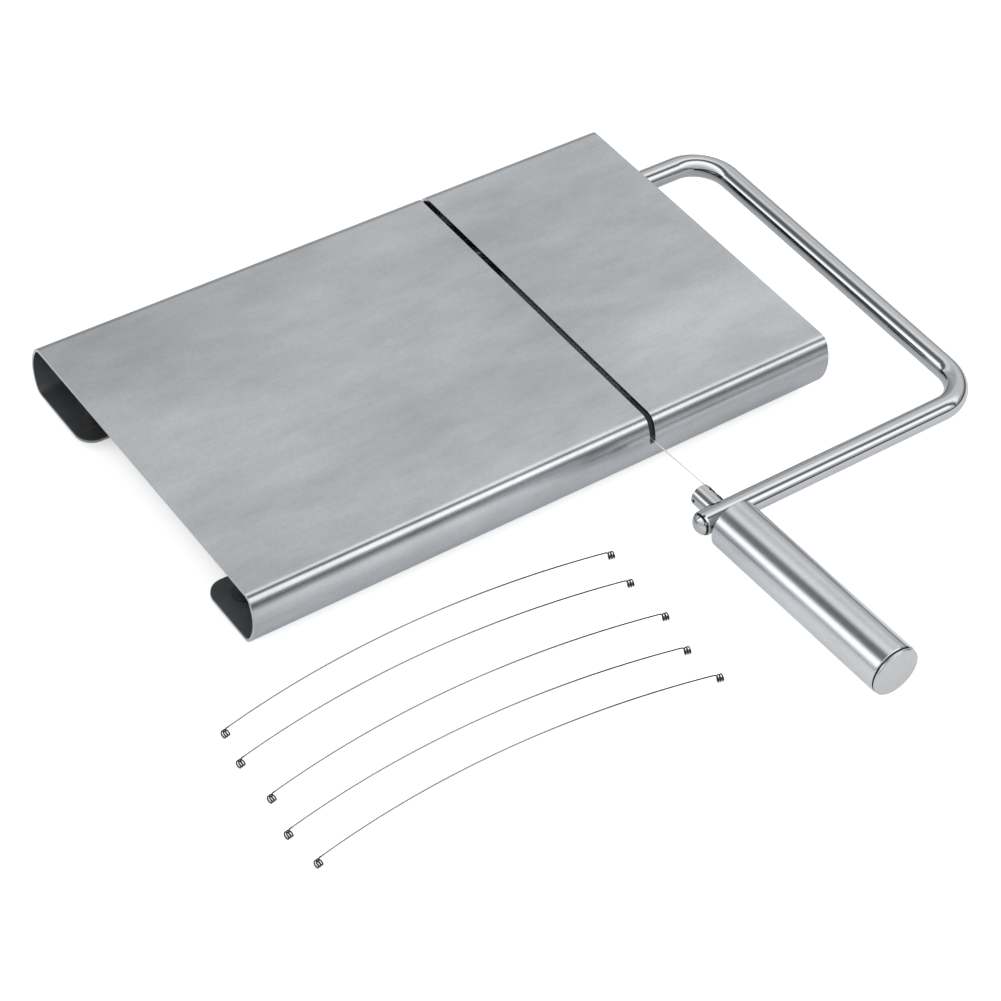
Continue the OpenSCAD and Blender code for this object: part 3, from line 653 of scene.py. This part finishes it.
# Level near the horizon, as shares of the level above it, by the sine of the height
HORIZON = ((0.0, 0.12), (0.09, 0.16), (0.17, 1.0), (1.0, 1.0))
# The least that this share is to the left and to the rear, where the room is open
OPEN_HORIZON = 0.9
OPEN_LEFT_FROM, OPEN_LEFT_TO = -0.15, -0.5
OPEN_REAR_FROM, OPEN_REAR_TO = 0.0, 0.3


def studio_level(tree):
    """The light from each direction: soft boxes in front and above, and a dark gap between them."""
    x, y, z = tree.parts("Generated")
    # A direction's place on the ceiling: how deep, away from the camera, and how wide, to the left
    high = tree.math("MAXIMUM", z, LOWEST)
    deep = tree.math("ADD", tree.math("MULTIPLY", x, AWAY[0]), tree.math("MULTIPLY", y, AWAY[1]))
    deep = tree.math("DIVIDE", deep, high)
    wide = tree.math("SUBTRACT", tree.math("MULTIPLY", y, AWAY[0]), tree.math("MULTIPLY", x, AWAY[1]))
    wide = tree.math("DIVIDE", wide, high)
    side = tree.math("MAXIMUM", tree.math("MINIMUM", wide, SIDE_HIGH), SIDE_LOW)
    skew = tree.between(deep, SKEW_FROM, SKEW_TO, GAP_SKEW, 0.0)
    place = tree.math("ADD", deep, tree.math("MULTIPLY", side, skew))
    share = tree.math("DIVIDE", tree.math("ADD", place, STUDIO_REACH), 2 * STUDIO_REACH)
    stops = [((p + STUDIO_REACH) / (2 * STUDIO_REACH), v * RAMP_SHARE) for p, v in STUDIO]
    boxes = tree.math("DIVIDE", tree.ramp(share, stops), RAMP_SHARE)
    in_front = tree.math("MULTIPLY", tree.math("LESS_THAN", deep, REAR_FROM), NOT_REAR)
    left = tree.between(tree.math("ADD", side, in_front), LEFT_FROM, LEFT_TO, 1.0, LEFT_SHARE)
    right = tree.between(wide, RIGHT_FROM, RIGHT_TO, 1.0, RIGHT_SHARE)
    open_left = tree.between(x, OPEN_LEFT_FROM, OPEN_LEFT_TO, 0.0, OPEN_HORIZON)
    open_rear = tree.between(y, OPEN_REAR_FROM, OPEN_REAR_TO, 0.0, OPEN_HORIZON)
    open_room = tree.math("MAXIMUM", open_left, open_rear)
    low = tree.math("MAXIMUM", tree.ramp(z, HORIZON), open_room)
    level = tree.math("MULTIPLY", boxes, low)
    return tree.math("MULTIPLY", tree.math("MULTIPLY", level, left), right)


def make_world():
    """The studio's light, white to the camera."""
    world = bpy.data.worlds.new("studio")
    bpy.context.scene.world = world
    tree = Tree(world)
    seen = tree.add("ShaderNodeLightPath").outputs["Is Camera Ray"]
    unseen = tree.math("SUBTRACT", 1.0, seen)
    strength = tree.math("ADD", tree.math("MULTIPLY", studio_level(tree), unseen), seen)
    back = tree.shader("ShaderNodeBackground", Color=(1.0, 1.0, 1.0, 1.0), Strength=strength)
    tree.put(tree.add("ShaderNodeOutputWorld"), Surface=back)


def main():
    make_camera()
    finishes = make_finishes()
    dress_nodes(finishes)
    make_wires(finishes)
    make_table()
    make_world()
    scene = bpy.context.scene
    scene.view_settings.view_transform = "Standard"


main()
